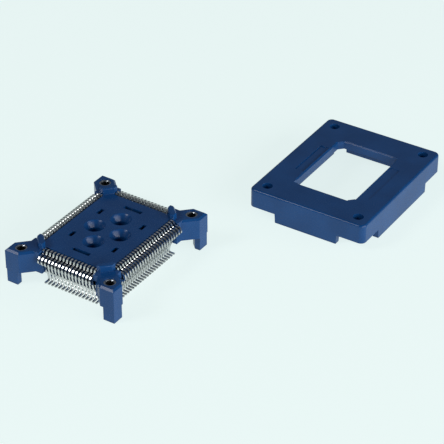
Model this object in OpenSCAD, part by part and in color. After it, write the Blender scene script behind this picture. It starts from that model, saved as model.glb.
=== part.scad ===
// Surface-mount socket for an 80-lead flat package: a moulded housing with spring
// contacts on four sides, and the screw-down cover frame that stands beside it.
// X runs along the long rows of contacts and Z is up. The origin is the centre of the
// contact feet, on the board.

/* [Package] */
// Length of the package body, along X
package_l = 20; // [19.6:0.1:20.4]
// Width of the package body, along Y
package_w = 14; // [13.6:0.1:14.4]
// Distance from the body's short side to the row of contact tips
lead_reach_x = 1.7; // [1.6:0.05:1.9]
// Distance from the body's long side to the row of contact tips
lead_reach_y = 1.55; // [1.5:0.05:1.9]

/* [Contacts] */
// Spacing of the contacts in a row
pitch = 0.8; // [0.74:0.01:0.82]
// Contacts in each short row, an even number
short_count = 16; // [12:2:16]
// Contacts in each long row, an even number
long_count = 24; // [18:2:24]
// Width of a contact, along its row
contact_w = 0.36; // [0.3:0.01:0.42]
// Thickness of the contact strip
contact_t = 0.24; // [0.18:0.01:0.28]
// Height of the contact tips above the board
tip_z = 7.75; // [7.65:0.05:8]
// Distance from the row of tips to the outside of the spring loops
loop_reach = 2.35; // [2.1:0.05:2.5]
// Outer radius of the spring loops
loop_r = 1; // [0.85:0.05:1.1]
// Length of the foot that is soldered to the board
foot_l = 1.4; // [1:0.1:1.6]
// Length of the tang that holds a contact in the housing wall
tang_l = 1; // [0.8:0.05:1.1]
// Height of the tang
tang_h = 0.7; // [0.5:0.05:0.9]
// Clearance on each side of a contact in its slot
slot_clear = 0.04; // [0.02:0.01:0.06]

/* [Housing] */
// Length over the ears
base_l = 31.2; // [31:0.1:31.8]
// Width over the ears
base_w = 25.3; // [25.1:0.1:25.9]
// Height of the seat and the ears above the board
seat_z = 7.5; // [7.3:0.1:7.6]
// Height of the housing's underside above the board
underside_z = 1.7; // [1.5:0.1:1.9]
// Gap from the row of tips to the edge of the seat on the short sides
seat_gap_x = 0.85; // [0.75:0.05:1]
// Gap from the row of tips to the edge of the seat on the long sides
seat_gap_y = 0.7; // [0.68:0.02:0.9]
// Distance from the row of tips to the outside of the comb ribs
comb_reach = 0.9; // [0.5:0.1:1.2]
// Height of the comb ribs' tops below the seat
comb_drop = 0.9; // [0.8:0.1:1.2]
// Height of the comb ribs
comb_h = 2; // [1.6:0.1:2.2]
// Gap from the last contact of a row to the corner block
block_gap = 0.33; // [0.28:0.01:0.36]
// Bevel on the top edges of the ears
ear_bevel = 0.4; // [0.2:0.05:0.5]

/* [Corner blocks] */
// Distance from the row of tips to the outside of a corner flange
flange_reach = 1.6; // [1.4:0.1:1.8]
// Thickness of a corner flange
flange_t = 1.3; // [1:0.1:1.6]
// Distance from the row of tips to the outside of the block under a flange
block_reach = 0.95; // [0.7:0.05:1.1]
// Height of the block's underside above the board
block_z = 2.3; // [2:0.1:2.6]
// Height of the guide bars above the seat
guide_h = 1.4; // [1:0.1:1.6]
// Thickness of a guide bar across the diagonal
guide_t = 1.34; // [1:0.02:1.5]
// Clearance between a guide bar and the package corner
guide_clear = 0.32; // [0.2:0.02:0.5]

/* [Ears and legs] */
// Spacing of the screws along X
screw_dx = 26.96; // [26.8:0.02:27.2]
// Spacing of the screws along Y
screw_dy = 20.68; // [20.5:0.02:20.9]
// Width of an ear, across the diagonal
ear_w = 4.24; // [4:0.04:4.6]
// Height of an ear's underside above the board
ear_z = 2.95; // [2.7:0.05:3.1]
// Size of a leg along each side
leg_w = 2.5; // [2.2:0.1:2.8]
// Chamfer on the inner corner of a leg
leg_chamfer = 1.3; // [1:0.1:1.5]
// Inset of a leg from the outside of its ear
leg_inset = 0.1; // [0.05:0.05:0.3]

/* [Inserts] */
// Outer diameter of a threaded insert
insert_d = 2.36; // [2.2:0.02:2.5]
// Bore of a threaded insert
insert_bore = 1.6; // [1.4:0.05:1.7]
// Length of a threaded insert
insert_l = 3.9; // [3:0.1:4]
// Depth of an insert's top below the ear
insert_recess = 0.15; // [0.05:0.05:0.3]
// Clearance round an insert in its ear
insert_fit = 0.02; // [0.01:0.01:0.05]

/* [Seat] */
// Rim diameter of the funnels
funnel_d = 4.2; // [3.8:0.1:4.4]
// Diameter of the hole under a funnel
funnel_hole_d = 2.5; // [2:0.1:2.8]
// Depth of a funnel
funnel_depth = 1.3; // [1:0.1:1.6]
// Distance of the outer funnels from the middle, along X
funnel_x = 4.5; // [4.3:0.1:4.6]
// Distance of the other funnels from the middle, along Y
funnel_y = 3; // [2.9:0.1:3.1]
// Distance of the long slots from the middle, along X
long_slot_x = 8.45; // [8.3:0.05:8.5]
// Length of the long slots
long_slot_l = 4.1; // [3.6:0.1:4.2]
// Distance of the short slots from the middle, along X
short_slot_x = 4.55; // [4.4:0.05:4.7]
// Distance of the short slots from the middle, along Y
short_slot_y = 5; // [4.8:0.05:5.2]
// Length of the short slots
short_slot_l = 1.75; // [1.4:0.05:2]
// Width of all slots
slot_w = 0.86; // [0.7:0.02:0.9]
// Thickness of the seat over the pockets in the underside
seat_t = 2.3; // [2:0.1:2.6]

/* [Cover] */
// Length of the cover
cover_l = 32.3; // [32:0.1:32.8]
// Width of the cover
cover_w = 26.1; // [25.9:0.1:26.6]
// Height of the cover over its skirts
cover_h = 6.13; // [5.9:0.01:6.4]
// Height of the cover's rim at its corners
rim_h = 4.13; // [3.9:0.01:4.3]
// Thickness of the plate round the window
plate_t = 1.77; // [1.5:0.01:2]
// Thickness of the rim and the skirts
wall_t = 1.25; // [1.1:0.05:1.3]
// Radius of the cover's upright corners
corner_r = 1.2; // [0.9:0.1:1.6]
// Radius along the cover's top edges
edge_r = 0.5; // [0.3:0.05:0.6]
// Length of the skirts on the short sides
short_skirt_l = 14.2; // [13:0.1:14.6]
// Length of the skirts on the long sides
long_skirt_l = 20; // [18:0.1:20.4]
// How much a skirt narrows at each end, from the rim to its lower edge
skirt_draft = 0.15; // [0:0.05:0.4]
// Length of the window
window_l = 18.8; // [18.4:0.1:19]
// Width of the window
window_w = 13.4; // [13:0.1:13.6]
// Chamfer on two corners of the window
window_chamfer = 1; // [0.6:0.1:1.2]
// Bevel round the window's upper edge
window_bevel = 0.25; // [0.1:0.05:0.35]
// Diameter of the cover's screw holes
cover_hole_d = 2.1; // [2.05:0.05:2.3]
// Thickness of a pusher rib
pusher_t = 1.1; // [0.8:0.05:1.2]
// Gap between a pusher rib and the contact tips when the cover is on
pusher_gap = 0.15; // [0.1:0.01:0.25]
// Diameter of the bosses round the screw holes
boss_d = 4.2; // [3.8:0.1:4.6]
// Depth of the bare label panels in the top
panel_depth = 0.2; // [0.1:0.05:0.3]

/* [Place of the cover] */
// Distance of the cover's centre from the housing's, along X
cover_x = 45.49; // [44:0.01:48]
// Distance of the cover's centre from the housing's, along Y
cover_y = -26.33; // [-29:0.01:-25]
// Turn of the cover
cover_turn = 0.86; // [0:0.02:2]

/* [Hidden] */
$fn = 48;
row_x = package_l / 2 + lead_reach_x;
row_y = package_w / 2 + lead_reach_y;
seat_x = row_x - seat_gap_x;
seat_y = row_y - seat_gap_y;
block_x = (long_count - 1) / 2 * pitch + block_gap;
block_y = (short_count - 1) / 2 * pitch + block_gap;
flange_x = row_x + flange_reach;
flange_y = row_y + flange_reach - 0.1;
comb_top = seat_z - comb_drop;
rib_w = pitch - contact_w - 2 * slot_clear;
tang_z = 4.25;
screw_z = seat_z - insert_recess;
insert_well = insert_recess + insert_l + 0.1;
over = 0.5;
contact_on_cover_z = cover_h - rim_h + (tip_z - seat_z);
plate_z = cover_h - plate_t;
rim_z = cover_h - rim_h;

// Names of the four rows: the side, its count, its distance from the middle and its turn
ROWS = [
    ["east", short_count, row_x, seat_gap_x, 0],
    ["north", long_count, row_y, seat_gap_y, 90],
    ["west", short_count, row_x, seat_gap_x, 180],
    ["south", long_count, row_y, seat_gap_y, 270],
];
CORNERS = [["front", 1, 1], ["right", 0, 1], ["back", 0, 0], ["left", 1, 0]];

function unit(v) = v / norm(v);
function reversed(list) = [for (i = [len(list) - 1:-1:0]) list[i]];
function arc(centre, r, from, to, steps) =
    [for (i = [0:steps]) let (a = from + (to - from) * i / steps) centre + r * [cos(a), sin(a)]];

// One side of a strip that follows a path, with mitred bends
function strip_side(path, shift) = [
    for (i = [0:len(path) - 1])
        let (
            last = len(path) - 1,
            ahead = unit(path[min(i + 1, last)] - path[min(i, last - 1)]),
            behind = unit(path[max(i, 1)] - path[max(i - 1, 0)]),
            mid = unit(ahead + behind)
        )
        path[i] + shift / (mid * ahead) * [-mid[1], mid[0]]
];
function strip(path, t) = concat(strip_side(path, t / 2), reversed(strip_side(path, -t / 2)));

// Middle line of a contact, as distances from the row of tips and heights over the board:
// the tip, the arm behind it, the spring loop, the leg and the foot
function contact_path() =
    let (
        half = contact_t / 2,
        r = loop_r - half,
        tip = tip_z - half,
        loop = [loop_reach - loop_r, tip_z - 0.75 - loop_r]
    )
    concat(
        [[-0.42, tip - 0.3], [-0.3, tip - 0.06], [-0.12, tip], [0.24, tip], [0.42, tip - 0.12]],
        [[0.6, loop[1] + r + 0.12], [0.76, loop[1] + r]],
        arc(loop, r, 90, -70, 6),
        [[0.75, tang_z + 0.4], [0.38, tang_z], [0.2, 3.5], [0, 2.7], [-0.3, 2.05], [-0.52, 1.5]],
        [[-0.66, 0.8], [-0.7, 0.36], [-0.55, half], [foot_l - 0.8, half]]
    );

module contact_profile(seat_gap) {
    polygon(strip(contact_path(), contact_t));
    translate([-seat_gap - tang_l, tang_z - tang_h / 2])
        square([seat_gap + tang_l + 0.38, tang_h]);
}

module in_row(row, i) {
    rotate([0, 0, row[4]])
        translate([row[2], (i - (row[1] - 1) / 2) * pitch, 0])
            rotate([90, 0, 0])
                children();
}

module contact_pair(row, first) {
    color("silver")
        for (i = [first, first + 1])
            in_row(row, i) linear_extrude(contact_w, center = true) contact_profile(row[3]);
}

module in_corners() {
    for (c = CORNERS) mirror([c[1], 0, 0]) mirror([0, c[2], 0]) children();
}

// Cuts a bevel along an edge that runs along Y through the origin
module bevel_cut(len, size) {
    rotate([0, 45, 0]) cube([size * sqrt(2), len, size * sqrt(2)], center = true);
}

module centred_block(x, y, z0, z1) {
    translate([-x, -y, z0]) cube([2 * x, 2 * y, z1 - z0]);
}

// Ribs that keep the contacts of one row apart
module comb(row) {
    for (i = [0:row[1]])
        in_row(row, i - 0.5)
            translate([-row[3] - 0.2, comb_top - comb_h, -rib_w / 2])
                cube([row[3] + comb_reach + 0.2, comb_h, rib_w]);
}

// Slots in the housing wall for the tangs of one row
module tang_slots(row) {
    h = tang_h + 2 * slot_clear;
    for (i = [0:row[1] - 1])
        in_row(row, i)
            translate([-row[3] - tang_l - slot_clear, tang_z - h / 2, -contact_w / 2 - slot_clear])
                cube([tang_l + slot_clear + 0.1, h, contact_w + 2 * slot_clear]);
}

module ear() {
    out_x = base_l / 2;
    out_y = base_w / 2;
    hole = [screw_dx / 2, screw_dy / 2];
    difference() {
        translate([0, 0, ear_z]) linear_extrude(seat_z - ear_z) intersection() {
            translate(hole) rotate(45) square([4 * ear_w, ear_w], center = true);
            translate([block_x, block_y]) square([out_x - block_x, out_y - block_y]);
        }
        translate([out_x, out_y, seat_z]) bevel_cut(4 * ear_w, ear_bevel);
        translate([out_x, out_y, seat_z]) rotate([0, 0, 90]) bevel_cut(4 * ear_w, ear_bevel);
        for (side = [-1, 1])
            translate([hole[0], hole[1], seat_z])
                rotate([0, 0, 135]) translate([side * ear_w / 2, 0, 0]) bevel_cut(4 * ear_w, ear_bevel);
    }
}

module leg() {
    x1 = base_l / 2 - leg_inset;
    y1 = base_w / 2 - leg_inset;
    x0 = x1 - leg_w;
    y0 = y1 - leg_w;
    c = leg_chamfer;
    linear_extrude(ear_z + over) polygon([[x1, y0], [x1, y1], [x0, y1], [x0, y0 + c], [x0 + c, y0]]);
}

module guide_bar() {
    inner = (package_l + package_w) / 2 + guide_clear * sqrt(2);
    x1 = row_x + 0.4;
    y1 = row_y + 0.25;
    mid = inner / 2 + guide_t / sqrt(2) / 2;
    difference() {
        translate([0, 0, seat_z - over]) linear_extrude(guide_h + over) intersection() {
            translate([mid, mid]) rotate(45) square([guide_t, 4 * row_x], center = true);
            translate([block_x, block_y]) square([x1 - block_x, y1 - block_y]);
        }
        for (side = [-1, 1])
            translate([mid, mid, seat_z + guide_h])
                rotate([0, 0, 45]) translate([side * guide_t / 2, 0, 0]) bevel_cut(4 * row_x, 0.2);
    }
}

// Flange, block, ear, leg and guide bar of the corner at +X and +Y
module corner() {
    translate([block_x, block_y, seat_z - flange_t])
        cube([flange_x - block_x, flange_y - block_y, flange_t]);
    translate([block_x, block_y, block_z])
        cube([row_x + block_reach - block_x, row_y + block_reach - block_y, seat_z - block_z - over]);
    translate([seat_x - 1.5, seat_y - 1.5, block_z]) cube([2, 2, seat_z - block_z]);
    ear();
    leg();
    guide_bar();
}

module insert_seats() {
    in_corners()
        translate([screw_dx / 2, screw_dy / 2, seat_z - insert_well])
            cylinder(d = insert_d + 2 * insert_fit, h = insert_well + over);
}

module funnel() {
    slope = (funnel_d - funnel_hole_d) / funnel_depth;
    translate([0, 0, seat_z - funnel_depth])
        cylinder(d1 = funnel_hole_d, d2 = funnel_d + slope * over, h = funnel_depth + over);
    translate([0, 0, underside_z - over]) cylinder(d = funnel_hole_d, h = seat_z);
}

module slot(x, y, len_x, len_y) {
    translate([x - len_x / 2, y - len_y / 2, underside_z + over]) cube([len_x, len_y, seat_z]);
}

module seat_openings() {
    for (s = [-1, 1]) {
        translate([s * funnel_x, 0, 0]) funnel();
        translate([0, s * funnel_y, 0]) funnel();
        slot(s * long_slot_x, 0, slot_w, long_slot_l);
        for (t = [-1, 1]) slot(s * short_slot_x, t * short_slot_y, short_slot_l, slot_w);
    }
}

// Pockets that keep the moulding's walls even, open at the underside
module pocket(x, y, len_x, len_y) {
    h = seat_z - seat_t - underside_z + over;
    translate([x - len_x / 2, y - len_y / 2, underside_z - over]) cube([len_x, len_y, h]);
}

module underside_pockets() {
    for (s = [-1, 1]) {
        pocket(s * (long_slot_x - 0.2), 0, 1.9, long_slot_l);
        for (t = [-1, 1]) {
            pocket(s * short_slot_x, t * (short_slot_y - 0.7), short_slot_l + 1.5, 3);
            pocket(s * (long_slot_x - 0.2), t * (short_slot_y - 0.7), 1.9, 3);
        }
    }
}

module housing() {
    color("midnightblue")
        difference() {
            union() {
                centred_block(seat_x, seat_y, underside_z, seat_z);
                for (row = ROWS) comb(row);
                in_corners() corner();
            }
            for (row = ROWS) tang_slots(row);
            insert_seats();
            seat_openings();
            underside_pockets();
        }
}

module insert(c) {
    groove = 0.12;
    band = insert_l * 0.36;
    r = insert_d / 2;
    bore = insert_bore / 2;
    lead = 0.12;
    color("silver")
        mirror([c[1], 0, 0]) mirror([0, c[2], 0])
            translate([screw_dx / 2, screw_dy / 2, screw_z - insert_l])
                rotate_extrude() polygon([
                    [bore, 0], [r - groove, 0], [r, groove], [r, band], [r - groove, band + groove],
                    [r - groove, insert_l - band - groove], [r, insert_l - band], [r, insert_l],
                    [bore + lead, insert_l], [bore, insert_l - lead]
                ]);
}

// Section of the cover's rim, with its rounded top edge
module rim_section(w) {
    translate([0, rim_z]) {
        square([w, rim_h - edge_r]);
        square([w - edge_r, rim_h]);
        translate([w - edge_r, rim_h - edge_r]) circle(edge_r);
    }
}

// The cover's outer block, with rounded corners and top edges
module cover_block() {
    mid_x = cover_l / 2 - corner_r;
    mid_y = cover_w / 2 - corner_r;
    centred_block(mid_x, mid_y, rim_z, cover_h);
    for (s = [-1, 1]) {
        for (t = [-1, 1])
            translate([s * mid_x, t * mid_y, 0]) rotate_extrude() rim_section(corner_r);
        translate([s * mid_x, 0, 0])
            rotate([90, 0, 90 - s * 90]) linear_extrude(2 * mid_y, center = true) rim_section(corner_r);
        translate([0, s * mid_y, 0])
            rotate([90, 0, s * 90]) linear_extrude(2 * mid_x, center = true) rim_section(corner_r);
    }
}

// One skirt, on the face at distance x from the middle
module skirt(x, len) {
    l1 = len / 2;
    l0 = l1 - skirt_draft;
    translate([x - wall_t, 0, 0])
        rotate([90, 0, 90])
            linear_extrude(wall_t) polygon([[-l0, 0], [l0, 0], [l1, rim_z + over], [-l1, rim_z + over]]);
}

module skirts() {
    for (a = [0, 180]) {
        rotate([0, 0, a]) skirt(cover_l / 2, short_skirt_l);
        rotate([0, 0, a + 90]) skirt(cover_w / 2, long_skirt_l);
    }
}

module window() {
    x = window_l / 2;
    y = window_w / 2;
    c = window_chamfer;
    b = window_bevel;
    linear_extrude(cover_h + over)
        polygon([[x, -y], [x, y - c], [x - c, y], [-x, y], [-x, c - y], [c - x, -y]]);
    for (s = [-1, 1]) {
        translate([s * x, 0, cover_h]) bevel_cut(window_w - 2 * c, b);
        translate([0, s * y, cover_h]) rotate([0, 0, 90]) bevel_cut(window_l - 2 * c, b);
    }
}

// The hollow under the plate, with the ribs that press the leads and the corner bosses left in
module cover_hollow() {
    x = cover_l / 2 - wall_t;
    y = cover_w / 2 - wall_t;
    difference() {
        centred_block(x, y, rim_z - over, plate_z);
        for (s = [-1, 1]) {
            translate([s * row_x - pusher_t / 2, -block_y + 0.2, contact_on_cover_z + pusher_gap])
                cube([pusher_t, 2 * block_y - 0.4, rim_h]);
            translate([-block_x + 0.2, s * row_y - pusher_t / 2, contact_on_cover_z + pusher_gap])
                cube([2 * block_x - 0.4, pusher_t, rim_h]);
        }
        in_corners() linear_extrude(cover_h) {
            translate([screw_dx / 2, screw_dy / 2]) circle(d = boss_d);
            translate([screw_dx / 2, screw_dy / 2 - boss_d / 2]) square([boss_d, boss_d / 2]);
            translate([screw_dx / 2 - boss_d / 2, screw_dy / 2]) square([boss_d, boss_d]);
        }
    }
}

module label_panels() {
    translate([-5, package_w / 2 + 0.15, cover_h - panel_depth]) cube([10.5, 1.85, over]);
    translate([-6.9, -package_w / 2 - 2.2, cover_h - panel_depth / 2]) cube([12.4, 2.1, over]);
}

module cover() {
    color("midnightblue")
        translate([cover_x, cover_y, 0]) rotate([0, 0, cover_turn])
            difference() {
                union() {
                    cover_block();
                    skirts();
                }
                cover_hollow();
                window();
                label_panels();
                in_corners()
                    translate([screw_dx / 2, screw_dy / 2, 0]) cylinder(d = cover_hole_d, h = cover_h + over);
            }
}

housing();
cover();
for (c = CORNERS)
    insert(c);
for (row = ROWS, i = [1:row[1] / 2])
    contact_pair(row, 2 * i - 2);
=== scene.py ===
"""Looks of the IC socket: a moulded housing with spring contacts, and its cover frame.

Everything is in metres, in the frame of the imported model. MM turns millimetres into metres.
"""
import math

import bmesh
import bpy
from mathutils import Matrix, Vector


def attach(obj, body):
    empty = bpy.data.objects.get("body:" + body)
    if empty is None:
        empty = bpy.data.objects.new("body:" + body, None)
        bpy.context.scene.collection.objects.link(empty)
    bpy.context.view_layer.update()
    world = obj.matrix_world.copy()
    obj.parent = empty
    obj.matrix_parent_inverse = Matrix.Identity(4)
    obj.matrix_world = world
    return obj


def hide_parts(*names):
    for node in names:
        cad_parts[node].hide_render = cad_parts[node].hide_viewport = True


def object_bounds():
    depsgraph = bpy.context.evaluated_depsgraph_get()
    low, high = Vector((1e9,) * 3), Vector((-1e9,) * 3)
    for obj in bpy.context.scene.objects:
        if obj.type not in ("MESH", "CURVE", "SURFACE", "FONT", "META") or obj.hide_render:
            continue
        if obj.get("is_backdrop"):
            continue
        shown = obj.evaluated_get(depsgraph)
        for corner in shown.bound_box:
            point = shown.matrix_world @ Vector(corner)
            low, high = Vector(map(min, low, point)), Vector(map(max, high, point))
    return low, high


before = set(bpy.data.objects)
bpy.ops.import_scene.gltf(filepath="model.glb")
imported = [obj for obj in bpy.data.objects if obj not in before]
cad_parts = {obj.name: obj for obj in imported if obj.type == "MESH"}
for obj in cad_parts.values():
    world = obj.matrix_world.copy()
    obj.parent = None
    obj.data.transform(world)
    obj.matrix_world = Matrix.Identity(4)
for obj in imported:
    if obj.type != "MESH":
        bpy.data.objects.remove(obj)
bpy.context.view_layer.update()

MM = 0.001
BODY = "root"

# The floor's painted shadow under the housing, where its glow is turned off: its middle, its half size and
# the fade at its edge, in mm.
SHADE_MIDDLE = {"X": 2.4, "Y": 2.5}
SHADE_HALF = {"X": 10.2, "Y": 7.6}
SHADE_FADE = 0.9
# The floor's glow as the camera sees it, and as it falls on the parts.
GLOW_SEEN = 0.9
GLOW_CAST = 0.7
FLOOR_TINT = (0.24, 0.255, 0.252, 1)
FLOOR_HALF = 4

# Each softbox: its turn about Z and its rise over the floor in degrees, width and height, and radiance.
SOFTBOXES = {
    "softbox_left": (146, 40, 0.2, 0.2, 6.5),
    "softbox_right": (262, 18, 0.92, 0.32, 3.5),
    "softbox_back": (33, 34, 0.6, 0.3, 0.12),
}
SOFTBOX_DISTANCE = 0.6

# Rounding of the mouldings' edges, in metres.
EDGE_ROUNDING = {"housing": 0.05 * MM, "cover": 0.07 * MM}
EDGE_SEGMENTS = 2
EDGE_ANGLE = math.radians(28)
FLAT_ANGLE = math.radians(0.6)
MERGE_DISTANCE = 0.001 * MM


# ---- Camera ----

def add_camera():
    """Looks down on the housing's front corner, from a few lengths away."""
    target = Vector((25.49, -9.51, 0)) * MM
    distance = 400.88 * MM
    turn = math.radians(56.739)
    rise = math.radians(33.818)
    back = Vector((-math.sin(turn) * math.cos(rise), -math.cos(turn) * math.cos(rise), math.sin(rise)))
    data = bpy.data.cameras.new("camera")
    data.lens = 162.37
    data.sensor_width = 36
    data.shift_y = -0.0135
    data.clip_start = 0.02
    data.clip_end = 20
    camera = bpy.data.objects.new("camera", data)
    camera.location = target + distance * back
    camera.rotation_euler = (-back).to_track_quat("-Z", "Y").to_euler()
    bpy.context.scene.collection.objects.link(camera)
    bpy.context.scene.camera = camera


# ---- Materials ----

def colour(hex_code):
    """An sRGB hex colour as linear RGBA."""
    channels = [int(hex_code[i:i + 2], 16) / 255 for i in (1, 3, 5)]
    linear = [c / 12.92 if c <= 0.04045 else ((c + 0.055) / 1.055) ** 2.4 for c in channels]
    return (*linear, 1)


def add(tree, kind, inputs=None, **settings):
    """Adds a node with its settings, and sets or links its inputs."""
    node = tree.nodes.new(kind)
    for name, value in settings.items():
        setattr(node, name, value)
    for name, value in (inputs or {}).items():
        if isinstance(value, bpy.types.NodeSocket):
            tree.links.new(value, node.inputs[name])
        else:
            node.inputs[name].default_value = value
    return node


def new_material(name):
    material = bpy.data.materials.new(name)
    material.use_nodes = True
    material.node_tree.nodes.clear()
    return material, material.node_tree


def finish_material(tree, shader):
    add(tree, "ShaderNodeOutputMaterial", {"Surface": shader.outputs[0]})


def per_mm(tree):
    """Object coordinates counted in millimetres, so that a Scale is a number of features per millimetre."""
    place = add(tree, "ShaderNodeTexCoord")
    scaled = add(tree, "ShaderNodeMapping", {
        "Vector": place.outputs["Object"], "Scale": (1 / MM, 1 / MM, 1 / MM)})
    return scaled.outputs[0]


def painted_recess_shade(tree, tint, reach, closed, opened, darkest):
    """Painted shade: a tint that falls to its darkest share where surfaces within reach close off the
    surroundings, so recesses and gaps are darkened in the colour itself.
    """
    around = add(tree, "ShaderNodeAmbientOcclusion", {"Distance": reach}, samples=8)
    share = add(tree, "ShaderNodeMapRange", {
        "Value": around.outputs["AO"], "From Min": closed, "From Max": opened,
        "To Min": darkest, "To Max": 1})
    shade_painted_tint = add(tree, "ShaderNodeVectorMath", {0: tint, "Scale": share.outputs["Result"]}, operation="SCALE")
    return shade_painted_tint.outputs[0]


def moulded_polymer():
    """Navy glass-filled polymer, moulded satin: deep blue, a soft sheen, faint cloudy flow marks."""
    material, tree = new_material("moulded_polymer_navy")
    place = per_mm(tree)
    clouds = add(tree, "ShaderNodeTexNoise", {"Vector": place, "Scale": 0.16, "Detail": 3, "Roughness": 0.55})
    tint = add(tree, "ShaderNodeValToRGB", {"Fac": clouds.outputs["Fac"]})
    tint.color_ramp.elements[0].position = 0.35
    tint.color_ramp.elements[0].color = colour("#12467f")
    tint.color_ramp.elements[1].position = 0.68
    tint.color_ramp.elements[1].color = colour("#164e8b")
    # Painted shade: the navy is darkened in slots, holes and inner corners, where less light reaches.
    shade_painted_tint = painted_recess_shade(tree, tint.outputs["Color"], 1.3 * MM, 0.22, 0.6, 0.06)
    grain = add(tree, "ShaderNodeTexNoise", {"Vector": place, "Scale": 7, "Detail": 2, "Roughness": 0.6})
    sheen = add(tree, "ShaderNodeMapRange", {
        "Value": grain.outputs["Fac"], "From Min": 0.3, "From Max": 0.7, "To Min": 0.2, "To Max": 0.3})
    relief = add(tree, "ShaderNodeBump", {
        "Height": grain.outputs["Fac"], "Strength": 0.12, "Distance": 0.02 * MM})
    shader = add(tree, "ShaderNodeBsdfPrincipled", {
        "Base Color": shade_painted_tint, "Roughness": sheen.outputs["Result"],
        "Normal": relief.outputs["Normal"], "IOR": 1.42})
    finish_material(tree, shader)
    return material


def plated_spring_strip():
    """Tin-plated copper alloy, stamped: bright where it is bent out, with painted shade darkening it where it
    lies in the comb.
    """
    material, tree = new_material("plated_spring_strip")
    place = per_mm(tree)
    grain = add(tree, "ShaderNodeTexNoise", {"Vector": place, "Scale": 5, "Detail": 2})
    sheen = add(tree, "ShaderNodeMapRange", {
        "Value": grain.outputs["Fac"], "From Min": 0.3, "From Max": 0.7, "To Min": 0.12, "To Max": 0.22})
    tone = add(tree, "ShaderNodeValToRGB", {"Fac": grain.outputs["Fac"]})
    tone.color_ramp.elements[0].position = 0.3
    tone.color_ramp.elements[0].color = colour("#dddfde")
    tone.color_ramp.elements[1].position = 0.7
    tone.color_ramp.elements[1].color = colour("#f0f1ef")
    # Painted shade: the plating is darkened between the comb's teeth and in the gaps between contacts.
    shade_painted_tint = painted_recess_shade(tree, tone.outputs["Color"], 0.7 * MM, 0.3, 0.75, 0.05)
    shader = add(tree, "ShaderNodeBsdfPrincipled", {
        "Base Color": shade_painted_tint, "Metallic": 1, "Roughness": sheen.outputs["Result"]})
    finish_material(tree, shader)
    return material


def plated_brass():
    """Nickel-plated brass, machined: grey and bright, with a fine uneven sheen."""
    material, tree = new_material("plated_brass")
    place = per_mm(tree)
    grain = add(tree, "ShaderNodeTexNoise", {"Vector": place, "Scale": 8, "Detail": 2})
    sheen = add(tree, "ShaderNodeMapRange", {
        "Value": grain.outputs["Fac"], "From Min": 0.3, "From Max": 0.7, "To Min": 0.22, "To Max": 0.36})
    shader = add(tree, "ShaderNodeBsdfPrincipled", {
        "Base Color": colour("#a9b0b6"), "Metallic": 1, "Roughness": sheen.outputs["Result"]})
    finish_material(tree, shader)
    return material


def lit_floor():
    """Pale sweep, lit from below so that shadows on it stay faint, with a painted shadow where the housing
    stands: its glow is turned off there.
    """
    material, tree = new_material("studio_floor")
    place = add(tree, "ShaderNodeSeparateXYZ", {"Vector": per_mm(tree)})
    past_edge = []
    for axis, half in SHADE_HALF.items():
        offset = add(tree, "ShaderNodeMath", {
            0: place.outputs[axis], 1: SHADE_MIDDLE[axis]}, operation="SUBTRACT")
        across = add(tree, "ShaderNodeMath", {0: offset.outputs[0]}, operation="ABSOLUTE")
        past_edge.append(add(tree, "ShaderNodeMath", {0: across.outputs[0], 1: half}, operation="SUBTRACT"))
    outside = add(tree, "ShaderNodeMath", {i: edge.outputs[0] for i, edge in enumerate(past_edge)},
                  operation="MAXIMUM")
    ray = add(tree, "ShaderNodeLightPath")
    full = add(tree, "ShaderNodeMapRange", {
        "Value": ray.outputs["Is Camera Ray"], "To Min": GLOW_CAST, "To Max": GLOW_SEEN})
    # Painted shadow: the glow fades to nothing inside the patch under the housing.
    strength = add(tree, "ShaderNodeMapRange", {
        "Value": outside.outputs[0], "From Min": -SHADE_FADE, "From Max": SHADE_FADE,
        "To Min": 0, "To Max": full.outputs["Result"]}, interpolation_type="SMOOTHSTEP")
    matt = add(tree, "ShaderNodeBsdfDiffuse", {"Color": FLOOR_TINT})
    glow = add(tree, "ShaderNodeEmission", {
        "Color": colour("#e6f4f2"), "Strength": strength.outputs["Result"]})
    both = add(tree, "ShaderNodeAddShader", {0: matt.outputs[0], 1: glow.outputs[0]})
    finish_material(tree, both)
    return material


# ---- Pieces ----

def finished_copy(node, name, material, bevel):
    """A copy of a CAD node's mesh with its edges slightly rounded, as the mould leaves them."""
    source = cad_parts[node]
    mesh = source.data.copy()
    shape = bmesh.new()
    shape.from_mesh(mesh)
    bmesh.ops.remove_doubles(shape, verts=shape.verts, dist=MERGE_DISTANCE)
    bmesh.ops.dissolve_limit(
        shape, angle_limit=FLAT_ANGLE, verts=shape.verts, edges=shape.edges, delimit={"NORMAL"})
    shape.to_mesh(mesh)
    shape.free()
    mesh.materials.clear()
    mesh.materials.append(material)
    for polygon in mesh.polygons:
        polygon.use_smooth = True
    piece = bpy.data.objects.new(name, mesh)
    bpy.context.scene.collection.objects.link(piece)
    rounding = piece.modifiers.new("rounding", "BEVEL")
    rounding.width = bevel
    rounding.segments = EDGE_SEGMENTS
    rounding.limit_method = "ANGLE"
    rounding.angle_limit = EDGE_ANGLE
    rounding.use_clamp_overlap = True
    # Large faces set the normals at their edges, so that they shade flat beside the rounding.
    flats = piece.modifiers.new("flat_faces", "WEIGHTED_NORMAL")
    flats.mode = "FACE_AREA"
    flats.weight = 100
    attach(piece, BODY)
    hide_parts(node)
    return piece


def add_mouldings(polymer):
    for node, bevel in EDGE_ROUNDING.items():
        piece = finished_copy(node, node + "_moulding", polymer, bevel)


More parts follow.
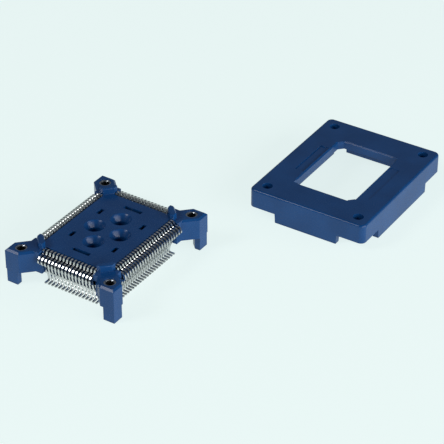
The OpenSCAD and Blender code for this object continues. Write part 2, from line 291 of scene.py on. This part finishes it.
def add_metal(strip, brass):
    for name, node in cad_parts.items():
        if name.startswith("contacts_"):
            node.data.materials.clear()
            node.data.materials.append(strip)
        if name.startswith("insert_"):
            node.data.materials.clear()
            node.data.materials.append(brass)


# ---- Studio ----

def add_floor():
    shape = bmesh.new()
    bmesh.ops.create_grid(shape, x_segments=1, y_segments=1, size=FLOOR_HALF)
    mesh = bpy.data.meshes.new("floor")
    shape.to_mesh(mesh)
    shape.free()
    mesh.materials.append(lit_floor())
    floor = bpy.data.objects.new("floor", mesh)
    bpy.context.scene.collection.objects.link(floor)
    floor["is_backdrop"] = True


def add_softbox(name, turn, rise, width, height, radiance, middle):
    """A rectangular softbox that faces the object and sheds the same radiance at any size."""
    data = bpy.data.lights.new(name, "AREA")
    data.shape = "RECTANGLE"
    data.size = width
    data.size_y = height
    data.energy = radiance * math.pi * width * height
    light = bpy.data.objects.new(name, data)
    a, e = math.radians(turn), math.radians(rise)
    away = Vector((math.cos(a) * math.cos(e), math.sin(a) * math.cos(e), math.sin(e)))
    light.location = middle + SOFTBOX_DISTANCE * away
    light.rotation_euler = (-away).to_track_quat("-Z", "Y").to_euler()
    bpy.context.scene.collection.objects.link(light)


def add_studio():
    add_floor()
    low, high = (Vector(corner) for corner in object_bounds())
    middle = (low + high) / 2
    for name, settings in SOFTBOXES.items():
        add_softbox(name, *settings, middle)
    add_surroundings()


def add_surroundings():
    """Pale where the camera looks past the floor, and dim for what lights the parts."""
    world = bpy.data.worlds.new("studio")
    world.use_nodes = True
    tree = world.node_tree
    tree.nodes.clear()
    ray = add(tree, "ShaderNodeLightPath")
    pale = add(tree, "ShaderNodeBackground", {"Color": colour("#e6f4f2"), "Strength": 1})
    dim = add(tree, "ShaderNodeBackground", {"Color": colour("#c9d6e6"), "Strength": 0.11})
    both = add(tree, "ShaderNodeMixShader", {
        "Fac": ray.outputs["Is Camera Ray"], 1: dim.outputs[0], 2: pale.outputs[0]})
    add(tree, "ShaderNodeOutputWorld", {"Surface": both.outputs[0]})
    bpy.context.scene.world = world
    bpy.context.scene.view_settings.view_transform = "Standard"


add_camera()
add_mouldings(moulded_polymer())
add_metal(plated_spring_strip(), plated_brass())
add_studio()
